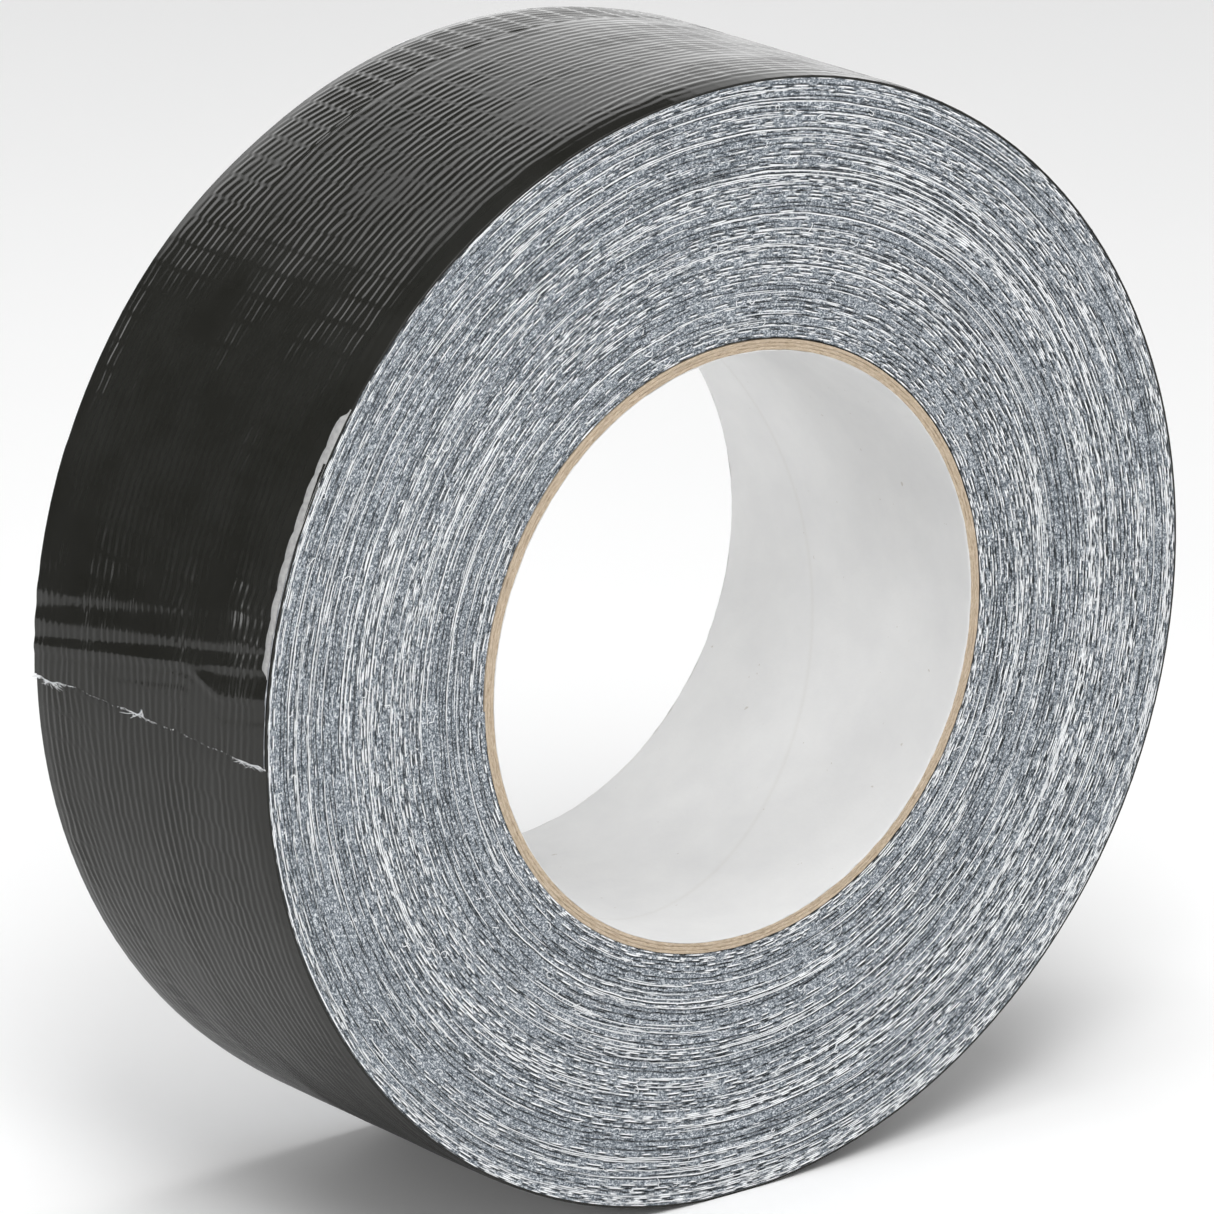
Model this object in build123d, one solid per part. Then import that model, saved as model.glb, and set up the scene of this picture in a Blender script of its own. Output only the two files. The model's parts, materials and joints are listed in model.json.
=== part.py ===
"""Duct tape roll: cloth-backed tape wound on a spirally wound paper tube, with a torn end that peels.

Frame: the roll's axis is Y, +Z is up, and the origin is the roll's centre.
Roll angles are in degrees about the axis, from +X towards +Z. Seen from -Y they run
anticlockwise, and so does the tape: it starts at the core and ends at the torn end.
All sizes are in millimetres.
"""

import os
from math import acos, cos, degrees, radians, sin, sqrt, tau

from build123d import *

# Paper tube
BORE_RADIUS = 38.1
LINER_THICKNESS = 0.12
KRAFT_PLY_THICKNESS = 0.46
KRAFT_PLY_NAMES = ("core_ply_inner", "core_ply_middle", "core_ply_outer")
CORE_RADIUS = BORE_RADIUS + LINER_THICKNESS + KRAFT_PLY_THICKNESS * len(KRAFT_PLY_NAMES)

# Tape
TAPE_WIDTH = 48.8
WRAP_COUNT = 139
WRAP_PITCH = 0.24
ADHESIVE_THICKNESS = 0.05
WEFT_THICKNESS = 0.04
WARP_THICKNESS = 0.05
FILM_THICKNESS = 0.08
TAPE_THICKNESS = ADHESIVE_THICKNESS + WEFT_THICKNESS + WARP_THICKNESS + FILM_THICKNESS
ROLL_RADIUS = CORE_RADIUS + WRAP_COUNT * WRAP_PITCH

# Scrim, the open cloth inside the tape: warp yarns run along the tape, weft yarns across it
WARP_COUNT = 36
WARP_WIDTH = 0.45
WARP_PITCH = TAPE_WIDTH / WARP_COUNT
WEFTS_PER_TURN = 126
WEFT_WIDTH = 0.4
WEFT_PITCH_ANGLE = 360 / WEFTS_PER_TURN
WEFT_EDGE_MARGIN = 0.2
YARN_CLEARANCE = 0.002

# Torn end, which lifts off the roll in hinged steps, so that it can curl
TORN_END_ANGLE = 180.7
TAB_SEGMENTS = 4
WEFTS_PER_SEGMENT = 2
SEGMENT_ANGLE = WEFTS_PER_SEGMENT * WEFT_PITCH_ANGLE
TAB_ANGLE = TAB_SEGMENTS * SEGMENT_ANGLE
TAB_LIFT = 0.1
SPLIT_GAP_ANGLE = 0.06
THREAD_ENDS = (0.4, 1.1, 0.6, 1.9, 0.3, 0.8, 1.4)

# The roll stands on a small flat, pressed into the wraps by its own weight. Each wrap is flattened
# in proportion to how far out it lies, so the wraps stay nested.
REST_ANGLE = 270
FLAT_WIDTH = 10
FLAT_DEPTH = ROLL_RADIUS - sqrt(ROLL_RADIUS**2 - (FLAT_WIDTH / 2) ** 2)

# Angles along the tape, counted from where it starts on the core
TAPE_END = WRAP_COUNT * 360
LAST_WRAP_START = TAPE_END - 360
TAB_START = TAPE_END - TAB_ANGLE


def roll_angle(tape_angle):
    """Roll angle of a place on the tape."""
    return TORN_END_ANGLE + tape_angle - TAPE_END


def half_turn_circle(half_turn, height):
    """Centre and radius of one half turn of the spiral, at a height above the tape's adhesive face.

    The spiral is made of half circles. Their centres change sides by half the pitch,
    so that each half turn is half a pitch larger than the one before it.
    """
    side = -1 if half_turn % 2 == 0 else 1
    tilt = radians(TORN_END_ANGLE)
    offset = side * WRAP_PITCH / 4
    radius = CORE_RADIUS + WRAP_PITCH / 4 + half_turn * WRAP_PITCH / 2 + height
    return (offset * cos(tilt), offset * sin(tilt)), radius


def flat_half_angle(half_turn, radius):
    """Half the angle that the rest flat takes up on one half turn."""
    depth = FLAT_DEPTH * (half_turn + 1) / (2 * WRAP_COUNT)
    return degrees(acos(1 - depth / radius))


def half_turn_path(half_turn, first_angle, last_angle, height):
    """Edges of one half turn. Even half turns pass under the roll, and have the flat in them."""
    centre, radius = half_turn_circle(half_turn, height)
    start = roll_angle(first_angle)
    end = roll_angle(last_angle)
    rest = REST_ANGLE + 360 * round((start + end) / 720 - REST_ANGLE / 360)
    half_flat = flat_half_angle(half_turn, radius)
    if not start < rest - half_flat < rest + half_flat < end:
        return [CenterArc(centre, radius, start, end - start)]
    before = CenterArc(centre, radius, start, rest - half_flat - start)
    after = CenterArc(centre, radius, rest + half_flat, end - rest - half_flat)
    return [before, Line(before @ 1, after @ 0), after]


def spiral_path(first_angle, last_angle, height):
    """Edges of the spiral between two places on the tape."""
    edges = []
    angle = first_angle
    while angle < last_angle - 1e-9:
        half_turn = int(angle // 180)
        part_end = min(last_angle, (half_turn + 1) * 180)
        edges += half_turn_path(half_turn, angle, part_end, height)
        angle = part_end
    return edges


def place_on_tape(tape_angle, height):
    """Location on the tape with its X axis out of the roll."""
    half_turn = int(tape_angle // 180)
    centre, radius = half_turn_circle(half_turn, height)
    angle = roll_angle(tape_angle)
    from_rest = (angle - REST_ANGLE + 180) % 360 - 180
    half_flat = flat_half_angle(half_turn, radius)
    if abs(from_rest) < half_flat:
        radius *= cos(radians(half_flat)) / cos(radians(from_rest))
        out_angle = REST_ANGLE
    else:
        out_angle = angle
    x = centre[0] + radius * cos(radians(angle))
    z = centre[1] + radius * sin(radians(angle))
    return Pos(x, 0, z) * Rot(0, -out_angle, 0)


def strip(first_angle, last_angle, low, high, width, offset=0):
    """Length of tape layer from height low to high, centred offset along the axis."""
    inner = spiral_path(first_angle, last_angle, low)
    outer = spiral_path(first_angle, last_angle, high)
    start = Line(inner[0] @ 0, outer[0] @ 0)
    end = Line(inner[-1] @ 1, outer[-1] @ 1)
    outline = make_face(inner + outer + [start, end])
    section = Plane.XZ.offset(width / 2 - offset) * outline
    return extrude(section, amount=-width)


def sleeve(inner_radius, thickness):
    """Plain tube, as wide as the tape."""
    section = Plane.XZ.offset(TAPE_WIDTH / 2) * (Circle(inner_radius + thickness) - Circle(inner_radius))
    return extrude(section, amount=-TAPE_WIDTH)


def core_plies():
    """White paper liner, and the kraft plies glued round it."""
    plies = {"core_liner": sleeve(BORE_RADIUS, LINER_THICKNESS)}
    radius = BORE_RADIUS + LINER_THICKNESS
    for name in KRAFT_PLY_NAMES:
        plies[name] = sleeve(radius, KRAFT_PLY_THICKNESS)
        radius += KRAFT_PLY_THICKNESS
    return plies


def warp_yarns(first_angle, last_angle, lift, ends=(0,)):
    """Yarns along the tape. Each one runs past last_angle by the next of the lengths in ends."""
    low = lift + ADHESIVE_THICKNESS + WEFT_THICKNESS
    yarns = []
    for index in range(WARP_COUNT):
        offset = (index + 0.5) * WARP_PITCH - TAPE_WIDTH / 2
        overhang = ends[index % len(ends)] / ROLL_RADIUS * 360 / tau
        yarns.append(strip(first_angle, last_angle + overhang, low, low + WARP_THICKNESS, WARP_WIDTH, offset))
    return Compound(yarns)


def weft_yarns(first_angle, last_angle, lift):
    """Straight yarns across the tape, one in each pitch."""
    middle = lift + ADHESIVE_THICKNESS + WEFT_THICKNESS / 2
    length = TAPE_WIDTH - 2 * WEFT_EDGE_MARGIN
    first = round((first_angle - LAST_WRAP_START) / WEFT_PITCH_ANGLE)
    last = round((last_angle - LAST_WRAP_START) / WEFT_PITCH_ANGLE)
    yarns = []
    for index in range(first, last):
        tape_angle = LAST_WRAP_START + (index + 0.5) * WEFT_PITCH_ANGLE
        yarn = Box(WEFT_THICKNESS - 2 * YARN_CLEARANCE, length, WEFT_WIDTH)
        yarns.append(place_on_tape(tape_angle, middle) * yarn)
    return Compound(yarns)


def laminate(prefix, first_angle, last_angle, lift=0, ends=(0,)):
    """The four layers of a length of tape: film, warp yarns, weft yarns and adhesive."""
    film_low = lift + TAPE_THICKNESS - FILM_THICKNESS
    return {
        prefix + "_film": strip(first_angle, last_angle, film_low, lift + TAPE_THICKNESS, TAPE_WIDTH),
        prefix + "_warp_yarns": warp_yarns(first_angle, last_angle, lift, ends),
        prefix + "_weft_yarns": weft_yarns(first_angle, last_angle, lift),
        prefix + "_adhesive": strip(first_angle, last_angle, lift, lift + ADHESIVE_THICKNESS, TAPE_WIDTH),
    }


def end_tab():
    """The torn end in short lengths, with the warp yarns standing out of the last one."""
    layers = {}
    for index in range(TAB_SEGMENTS):
        start = TAB_START + index * SEGMENT_ANGLE
        end = start + SEGMENT_ANGLE
        is_last = index == TAB_SEGMENTS - 1
        layers |= laminate(
            f"end_tab_{index + 1}",
            start + SPLIT_GAP_ANGLE / 2,
            end if is_last else end - SPLIT_GAP_ANGLE / 2,
            TAB_LIFT,
            THREAD_ENDS if is_last else (0,),
        )
    return layers


parts = core_plies()
parts["tape_winding"] = strip(0, LAST_WRAP_START, 0, TAPE_THICKNESS, TAPE_WIDTH)
parts |= laminate("outer_wrap", LAST_WRAP_START, TAB_START - SPLIT_GAP_ANGLE / 2)
parts |= end_tab()

os.makedirs("parts", exist_ok=True)
for name, shape in parts.items():
    export_step(shape, f"parts/{name}.step")
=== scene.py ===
import json
import math

import bpy
import numpy as np
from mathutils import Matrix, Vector


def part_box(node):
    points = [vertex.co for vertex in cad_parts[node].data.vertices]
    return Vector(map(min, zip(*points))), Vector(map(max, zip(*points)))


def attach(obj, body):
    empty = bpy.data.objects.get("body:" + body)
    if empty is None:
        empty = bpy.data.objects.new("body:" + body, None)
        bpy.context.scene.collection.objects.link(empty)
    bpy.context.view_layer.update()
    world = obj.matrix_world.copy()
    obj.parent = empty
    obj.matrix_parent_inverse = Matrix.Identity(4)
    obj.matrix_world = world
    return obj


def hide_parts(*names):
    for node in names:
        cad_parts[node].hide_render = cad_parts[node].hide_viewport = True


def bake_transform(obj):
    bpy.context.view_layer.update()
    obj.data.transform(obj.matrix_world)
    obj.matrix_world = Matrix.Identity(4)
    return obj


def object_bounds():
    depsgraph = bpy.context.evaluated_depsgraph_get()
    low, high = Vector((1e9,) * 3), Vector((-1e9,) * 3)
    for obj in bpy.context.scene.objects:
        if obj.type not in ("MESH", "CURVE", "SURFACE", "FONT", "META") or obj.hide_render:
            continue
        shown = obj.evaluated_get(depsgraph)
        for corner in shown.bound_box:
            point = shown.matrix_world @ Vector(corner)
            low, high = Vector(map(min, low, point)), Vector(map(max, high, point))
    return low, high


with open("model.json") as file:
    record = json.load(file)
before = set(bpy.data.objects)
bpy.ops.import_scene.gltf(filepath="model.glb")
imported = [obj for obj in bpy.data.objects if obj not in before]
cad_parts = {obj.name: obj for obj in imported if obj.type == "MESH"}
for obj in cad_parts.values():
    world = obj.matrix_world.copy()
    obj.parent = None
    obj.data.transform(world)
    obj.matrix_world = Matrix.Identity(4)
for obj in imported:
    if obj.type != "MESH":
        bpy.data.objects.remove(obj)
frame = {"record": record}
CAD_BOX = [list(corner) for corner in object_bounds()]

# Everything below is worked out in millimetres, in the shared frame, and becomes metres in make_mesh.
MM = 0.001

# The roll, read from the frame
BORE_RADIUS = frame["record"]["mounts"][0]["dims"]["r_mm"]
CORE_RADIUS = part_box("core_ply_outer")[1].x / MM
HALF_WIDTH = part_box("core_liner")[1].y / MM
FLOOR_Z = CAD_BOX[0][2] / MM

# The tape. Roll angles are in degrees about the axis, from +X towards +Z. An angle on the tape runs on
# past 360 to the torn end, so the outermost wrap is the last 360 degrees before TAPE_END.
WRAP_COUNT = 139
WRAP_PITCH = 0.24
TAPE_THICKNESS = 0.22
FILM_THICKNESS = 0.08
TORN_END = 180.7
TAPE_END = TORN_END + 360
WARP_COUNT = 36
WARP_PITCH = 2 * HALF_WIDTH / WARP_COUNT
WEFT_ANGLE = 360 / 126
TAB_SEGMENTS = 4
SEGMENT_ANGLE = 2 * WEFT_ANGLE
PEEL_LINE = TAPE_END - TAB_SEGMENTS * SEGMENT_ANGLE
TAB_LIFT = 0.1

# The flat that the roll stands on
REST_ANGLE = 270
RADIUS_OVER_FLAT = CORE_RADIUS + WRAP_PITCH * (WRAP_COUNT - 0.75) + TAPE_THICKNESS
FLAT_HALF_ANGLE = math.degrees(math.acos(-FLOOR_Z / RADIUS_OVER_FLAT))

# Radii that turn lengths along the tape into angles: on the tread, and halfway out on the wound sides
TREAD_RADIUS = 73
SIDE_RADIUS = 56

# Mesh steps, and how many sectors the tread and each wound side are cut into
COLUMNS_PER_WEFT = 11
COLUMN_ANGLE = WEFT_ANGLE / COLUMNS_PER_WEFT
ROWS_PER_WARP = 10
FILM_SECTORS = 6
SAMPLES_PER_WRAP = 3
SIDE_COLUMN_ANGLE = 0.25
SIDE_SECTORS = 6


# ---------------------------------------------------------------- numbers and noise


def ramp(value, low, high):
    """0 below low, 1 above high, and a smooth rise between."""
    t = np.clip((value - low) / (high - low), 0, 1)
    return t * t * (3 - 2 * t)


def bell(value, middle, width):
    """1 at the middle, falling smoothly to nothing about two widths away."""
    return np.exp(-(((value - middle) / width) ** 2))


def smooth_noise(seed, rows, columns, row_scale, column_scale):
    """Smooth random field with a spread of 1. The scales are the sizes of its blobs, in rows and columns."""
    white = np.random.default_rng(seed).standard_normal((rows, columns))
    row_waves = np.fft.fftfreq(rows)[:, None]
    column_waves = np.fft.rfftfreq(columns)[None, :]
    keep = np.exp(-2 * math.pi**2 * ((row_scale * row_waves) ** 2 + (column_scale * column_waves) ** 2))
    field = np.fft.irfft2(np.fft.rfft2(white) * keep, s=(rows, columns))
    return field / field.std()


def polar(radius, angle, y):
    """Points at a radius and roll angle, as an array whose last axis is x, y, z."""
    turn = np.radians(angle)
    radius, turn, y = np.broadcast_arrays(radius, turn, y)
    return np.stack([radius * np.cos(turn), y, radius * np.sin(turn)], axis=-1)


# ---------------------------------------------------------------- meshes


def make_mesh(name, points, faces, attributes=None, normals=None):
    """Smooth-shaded object from points in millimetres and quads given as rows of four indices.

    Normals are optional, one for each point, and a zero leaves a point's normal to Blender.
    """
    points = np.asarray(points, float).reshape(-1, 3)
    faces = np.asarray(faces, np.int32).reshape(-1, 4)
    mesh = bpy.data.meshes.new(name)
    mesh.vertices.add(len(points))
    mesh.vertices.foreach_set("co", (points * MM).astype(np.float32).ravel())
    mesh.loops.add(faces.size)
    mesh.loops.foreach_set("vertex_index", faces.ravel())
    mesh.polygons.add(len(faces))
    mesh.polygons.foreach_set("loop_start", np.arange(0, faces.size, 4, dtype=np.int32))
    mesh.polygons.foreach_set("use_smooth", np.ones(len(faces), bool))
    for key, values in (attributes or {}).items():
        layer = mesh.attributes.new(key, "FLOAT", "POINT")
        layer.data.foreach_set("value", np.asarray(values, np.float32).ravel())
    mesh.update(calc_edges=True)
    mesh.validate()
    if normals is not None:
        mesh.normals_split_custom_set_from_vertices(normals.reshape(-1, 3).tolist())
    piece = bpy.data.objects.new(name, mesh)
    bpy.context.scene.collection.objects.link(piece)
    return piece


def grid_faces(rows, columns, first=0, flip=False):
    """Quads of a grid of points stored row by row."""
    corner = first + np.arange(rows - 1)[:, None] * columns + np.arange(columns - 1)[None, :]
    faces = np.stack([corner, corner + 1, corner + columns + 1, corner + columns], axis=-1).reshape(-1, 4)
    return faces[:, ::-1] if flip else faces


def grid_normals(points):
    """Unit normals of a grid of points, on the side that grid_faces turns outwards when it flips."""
    across, along = np.gradient(points, axis=0), np.gradient(points, axis=1)
    normals = np.cross(across, along)
    return normals / np.linalg.norm(normals, axis=-1, keepdims=True)


def slab(name, top, bottom, attributes=None, normals=None):
    """Closed slab between two grids of points of the same shape, with sharp borders round its top."""
    rows, columns = top.shape[:2]
    count = rows * columns
    index = np.arange(count).reshape(rows, columns)
    rim = np.concatenate([index[0, :-1], index[:-1, -1], index[-1, :0:-1], index[:0:-1, 0]])
    sheets = np.concatenate([top.reshape(-1, 3), bottom.reshape(-1, 3)])
    points = np.concatenate([sheets, sheets[rim], sheets[rim + count]])
    near = 2 * count + np.arange(len(rim))
    after = np.roll(near, -1)
    walls = np.stack([near, after, after + len(rim), near + len(rim)], axis=-1)
    faces = [grid_faces(rows, columns, flip=True), grid_faces(rows, columns, count), walls]
    every = {}
    for key, values in (attributes or {}).items():
        both = np.concatenate([values.ravel(), values.ravel()])
        every[key] = np.concatenate([both, both[rim], both[rim + count]])
    if normals is not None:
        free = np.zeros((len(points) - count, 3))
        normals = np.concatenate([normals.reshape(-1, 3), free])
    return make_mesh(name, points, np.concatenate(faces), every, normals)


def tubes(name, paths, radii, flatness=1.0, sides=5):
    """One mesh of many thin tubes that narrow at their ends. Radii are per path, and flatness is along Y."""
    points, faces, first = [], [], 0
    turns = np.arange(sides) * 2 * math.pi / sides
    for path, radius in zip(paths, radii):
        along = np.gradient(path, axis=0)
        along /= np.linalg.norm(along, axis=1, keepdims=True) + 1e-12
        side = np.cross(along, (0.0, 1.0, 0.0))
        length = np.linalg.norm(side, axis=1, keepdims=True)
        side = np.where(length > 1e-3, side / np.maximum(length, 1e-9), (1.0, 0.0, 0.0))
        up = np.cross(side, along)
        size = radius * np.sqrt(np.clip(1 - np.linspace(-1, 1, len(path)) ** 8, 0.05, 1))[:, None, None]
        ring = side[:, None] * np.cos(turns)[:, None] + up[:, None] * np.sin(turns)[:, None] * flatness
        points.append((path[:, None] + size * ring).reshape(-1, 3))
        step = np.arange(len(path) - 1)[:, None] * sides
        here = np.arange(sides)[None, :]
        ahead = (here + 1) % sides
        quads = np.stack([step + here, step + ahead, step + sides + ahead, step + sides + here], axis=-1)
        faces.append(quads.reshape(-1, 4) + first)
        first += len(path) * sides
    return make_mesh(name, np.concatenate(points), np.concatenate(faces))


# ---------------------------------------------------------------- materials


class Shader:
    """A node material under construction, with one short call for each kind of node."""

    def __init__(self, name):
        self.material = bpy.data.materials.new(name)
        self.material.use_nodes = True
        self.tree = self.material.node_tree
        self.surface = self.tree.nodes["Principled BSDF"]
        self.place = self.tree.nodes.new("ShaderNodeTexCoord").outputs["Object"]

    def set(self, **values):
        for name, value in values.items():
            self.surface.inputs[name.replace("_", " ")].default_value = value

    def plug(self, socket, value):
        """Feeds a socket from another socket, or sets it to a number."""
        if hasattr(value, "is_linked"):
            self.tree.links.new(value, socket)
        else:
            socket.default_value = value

    def link(self, name, value):
        self.plug(self.surface.inputs[name], value)

    def math(self, kind, first, second=0.0):
        node = self.tree.nodes.new("ShaderNodeMath")
        node.operation = kind
        self.plug(node.inputs[0], first)
        self.plug(node.inputs[1], second)
        return node.outputs[0]

    def noise(self, vector, scale, detail=2.0, roughness=0.5):
        node = self.tree.nodes.new("ShaderNodeTexNoise")
        self.plug(node.inputs["Vector"], vector)
        node.inputs["Scale"].default_value = scale
        node.inputs["Detail"].default_value = detail
        node.inputs["Roughness"].default_value = roughness
        return node.outputs["Fac"]

    def attribute(self, name):
        node = self.tree.nodes.new("ShaderNodeAttribute")
        node.attribute_name = name
        return node.outputs["Fac"]

    def ramp(self, value, *stops):
        """Colour ramp, each stop a place and a colour."""
        node = self.tree.nodes.new("ShaderNodeValToRGB")
        self.plug(node.inputs["Fac"], value)
        elements = node.color_ramp.elements
        while len(elements) < len(stops):
            elements.new(0.5)
        for element, (place, colour) in zip(elements, stops):
            element.position = place
            element.color = (*colour, 1.0)
        return node.outputs["Color"]

    def spread(self, value, low, high, to_low, to_high):
        """Carries a value from the range low to high over to another range."""
        node = self.tree.nodes.new("ShaderNodeMapRange")
        for socket, number in zip(node.inputs[:5], (value, low, high, to_low, to_high)):
            self.plug(socket, number)
        return node.outputs["Result"]

    def mix(self, share, first, second):
        """Colour that goes from the first to the second as share goes from 0 to 1."""
        node = self.tree.nodes.new("ShaderNodeMix")
        node.data_type = "RGBA"
        self.plug(node.inputs["Factor"], share)
        for name, value in (("A", first), ("B", second)):
            socket = next(s for s in node.inputs if s.name == name and s.type == "RGBA")
            self.plug(socket, value if hasattr(value, "is_linked") else (*value, 1.0))
        return next(s for s in node.outputs if s.type == "RGBA")

    def bump(self, height, distance):
        """Relief too fine for the mesh, with its height in millimetres."""
        node = self.tree.nodes.new("ShaderNodeBump")
        node.inputs["Strength"].default_value = 1.0
        node.inputs["Distance"].default_value = distance * MM
        self.plug(node.inputs["Height"], height)
        self.link("Normal", node.outputs["Normal"])

    def round_the_axis(self, streak, across):
        """Vector that makes noise into streaks along the wraps: streak is their angle, across their width."""
        split = self.tree.nodes.new("ShaderNodeSeparateXYZ")
        self.plug(split.inputs[0], self.place)
        x, y, z = split.outputs
        radius = self.math("SQRT", self.math("ADD", self.math("MULTIPLY", x, x), self.math("MULTIPLY", z, z)))
        join = self.tree.nodes.new("ShaderNodeCombineXYZ")
        for socket, part in ((join.inputs[0], x), (join.inputs[1], z)):
            direction = self.math("DIVIDE", part, radius)
            self.plug(socket, self.math("MULTIPLY", direction, 1 / math.radians(streak)))
        outward = self.math("ADD", radius, y)
        self.plug(join.inputs[2], self.math("MULTIPLY", outward, 1 / (across * MM)))
        return join.outputs[0]


def film_material():
    """Black polyethylene backing: glossy, with a faint haze and fine rubbing marks."""
    shader = Shader("black_film")
    haze = shader.noise(shader.place, 90, 4, 0.6)
    rubbing = shader.noise(shader.place, 260, 4, 0.65)
    grain = shader.noise(shader.place, 3800, 3, 0.6)
    shader.link("Base Color", shader.ramp(haze, (0.3, (0.014, 0.014, 0.012)), (0.75, (0.022, 0.022, 0.020))))
    shader.link("Roughness", shader.spread(rubbing, 0.3, 0.7, 0.10, 0.17))
    shader.set(IOR=1.46)
    shader.bump(grain, 0.004)
    return shader.material


def tape_edge_material():
    """The cut edges of the wraps: blue-grey adhesive with white yarn ends, and black film between them that
    also carries painted shade beside the yarn ends.
    """
    shader = Shader("tape_edge")
    thread = shader.attribute("thread")
    black_film_and_shade = shader.attribute("black_film_and_shade")
    smears = shader.noise(shader.round_the_axis(0.5, 0.14), 1.0, 3, 0.65)
    specks = shader.noise(shader.place, 4200, 2, 0.6)
    adhesive = shader.ramp(
        shader.math("ADD", shader.math("MULTIPLY", smears, 0.6), shader.math("MULTIPLY", specks, 0.4)),
        (0.41, (0.050, 0.063, 0.078)),
        (0.47, (0.170, 0.195, 0.222)),
        (0.53, (0.310, 0.342, 0.378)),
        (0.60, (0.780, 0.805, 0.835)),
    )
    # Darkens the adhesive to near black: black film, and painted shade beside the yarn ends.
    dark = shader.mix(black_film_and_shade, adhesive, (0.006, 0.008, 0.009))
    shader.link("Base Color", shader.mix(thread, dark, (0.95, 0.96, 0.97)))
    shader.link("Roughness", shader.spread(specks, 0.3, 0.7, 0.6, 0.9))
    shader.set(Specular_IOR_Level=0.25)
    shader.bump(specks, 0.03)
    return shader.material


def cotton_material():
    """White cotton yarn and loose fibres."""
    shader = Shader("cotton")
    fuzz = shader.noise(shader.place, 4000, 4, 0.7)
    shader.link("Base Color", shader.ramp(fuzz, (0.3, (0.62, 0.64, 0.66)), (0.6, (0.90, 0.91, 0.92))))
    shader.link("Roughness", shader.spread(fuzz, 0.3, 0.7, 0.75, 0.95))
    shader.set(Sheen_Weight=0.3, Sheen_Roughness=0.5)
    shader.bump(fuzz, 0.02)
    return shader.material


def adhesive_material():
    """Tacky underside: grey rubber adhesive with the cloth showing pale through it."""
    shader = Shader("adhesive")
    yarn = shader.attribute("yarn")
    mottle = shader.noise(shader.place, 700, 4, 0.6)
    rubber = shader.ramp(mottle, (0.3, (0.22, 0.24, 0.26)), (0.7, (0.32, 0.34, 0.36)))
    shader.link("Base Color", shader.mix(yarn, rubber, (0.74, 0.76, 0.78)))
    shader.link("Roughness", shader.spread(mottle, 0.3, 0.7, 0.32, 0.5))
    shader.bump(mottle, 0.03)
    return shader.material


def folded_edge_material():
    """Pale adhesive side of the film where its edge has turned over."""
    shader = Shader("folded_edge")
    mottle = shader.noise(shader.place, 1500, 4, 0.6)
    shader.link("Base Color", shader.ramp(mottle, (0.3, (0.24, 0.24, 0.24)), (0.7, (0.36, 0.36, 0.355))))
    shader.link("Roughness", shader.spread(mottle, 0.3, 0.7, 0.35, 0.5))
    shader.bump(mottle, 0.01)
    return shader.material


def kraft_material():
    """Brown board, with fibres and darker flecks."""
    shader = Shader("kraft_board")
    fibres = shader.noise(shader.round_the_axis(1.2, 0.10), 1.0, 4, 0.7)
    flecks = shader.noise(shader.place, 2200, 3, 0.8)
    board = shader.ramp(
        fibres,
        (0.25, (0.28, 0.21, 0.14)),
        (0.50, (0.50, 0.40, 0.29)),
        (0.75, (0.68, 0.58, 0.47)),
    )
    fleck = shader.spread(flecks, 0.62, 0.75, 0.0, 0.6)
    shader.link("Base Color", shader.mix(fleck, board, (0.16, 0.10, 0.05)))
    shader.link("Roughness", shader.spread(flecks, 0.3, 0.7, 0.8, 0.95))
    shader.bump(fibres, 0.05)
    return shader.material


def liner_material():
    """White liner paper with a soft grain and a few specks."""
    shader = Shader("liner_paper")
    clouds = shader.noise(shader.place, 120, 4, 0.6)
    grain = shader.noise(shader.place, 1800, 4, 0.7)
    specks = shader.spread(shader.noise(shader.place, 900, 2, 0.5), 0.745, 0.77, 0.0, 0.5)
    paper = shader.ramp(clouds, (0.3, (0.68, 0.68, 0.68)), (0.7, (0.73, 0.73, 0.725)))
    worn = shader.mix(shader.attribute("seam"), paper, (0.50, 0.47, 0.42))
    shader.link("Base Color", shader.mix(specks, worn, (0.40, 0.36, 0.30)))
    shader.link("Roughness", shader.spread(grain, 0.3, 0.7, 0.6, 0.8))
    shader.bump(grain, 0.02)
    return shader.material


FILM = film_material()
TAPE_EDGE = tape_edge_material()
COTTON = cotton_material()
ADHESIVE = adhesive_material()
FOLDED_EDGE = folded_edge_material()
KRAFT = kraft_material()
LINER = liner_material()


def finish_piece(piece, material, body=None, blended=None, replaces=()):
    """Gives a piece its material and slot, fixes it to its body or bakes it in place for a blend, and hides
    the CAD nodes that it stands for.
    """
    piece.data.materials.append(material)
    if blended:
        blend_across(piece)
    else:
        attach(piece, body)
    if replaces:
        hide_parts(*replaces)
    return piece


def blend_across(piece):
    """Bakes a piece's transform into its mesh, and leaves it unbent and on no body."""
    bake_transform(piece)


# ---------------------------------------------------------------- outermost wrap and free end

# The free end is drawn in lengths, one for each segment, that meet halfway between hinges.
# They are given by where they start and stop, counted in weft yarns from the torn end.
BENDING_LENGTHS = [(10, 7), (7, 5), (5, 3), (3, 0)]
BENDING_STARTS = BENDING_LENGTHS[0][0]
UNDER_END_ANGLE = 30
CREASE_Y = 13.4
NEAR_EDGE_WIDTH = 4.2
FAR_EDGE_WIDTH = 5
RIB_HEIGHT = 0.078
RIB_FLANK = 0.40
WEFT_HEIGHT = 0.020
WAVE_HEIGHT = 0.062
FOLD_HEIGHT = 0.13


def outer_radius(angle):
    """Radius of the film's outer face along the outermost wrap, with the rest flat and the lifted end."""
    turns = WRAP_COUNT + (angle - TAPE_END) / 360
    radius = CORE_RADIUS + WRAP_PITCH * turns + TAPE_THICKNESS
    radius = radius + TAB_LIFT * ramp(angle, PEEL_LINE - 1, PEEL_LINE + 1)
    from_rest = np.abs((angle - REST_ANGLE + 180) % 360 - 180)
    flat = -FLOOR_Z / np.cos(np.radians(np.minimum(from_rest, 20)))
    return np.minimum(radius, np.where(from_rest < FLAT_HALF_ANGLE * 1.5, flat, radius))


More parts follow.
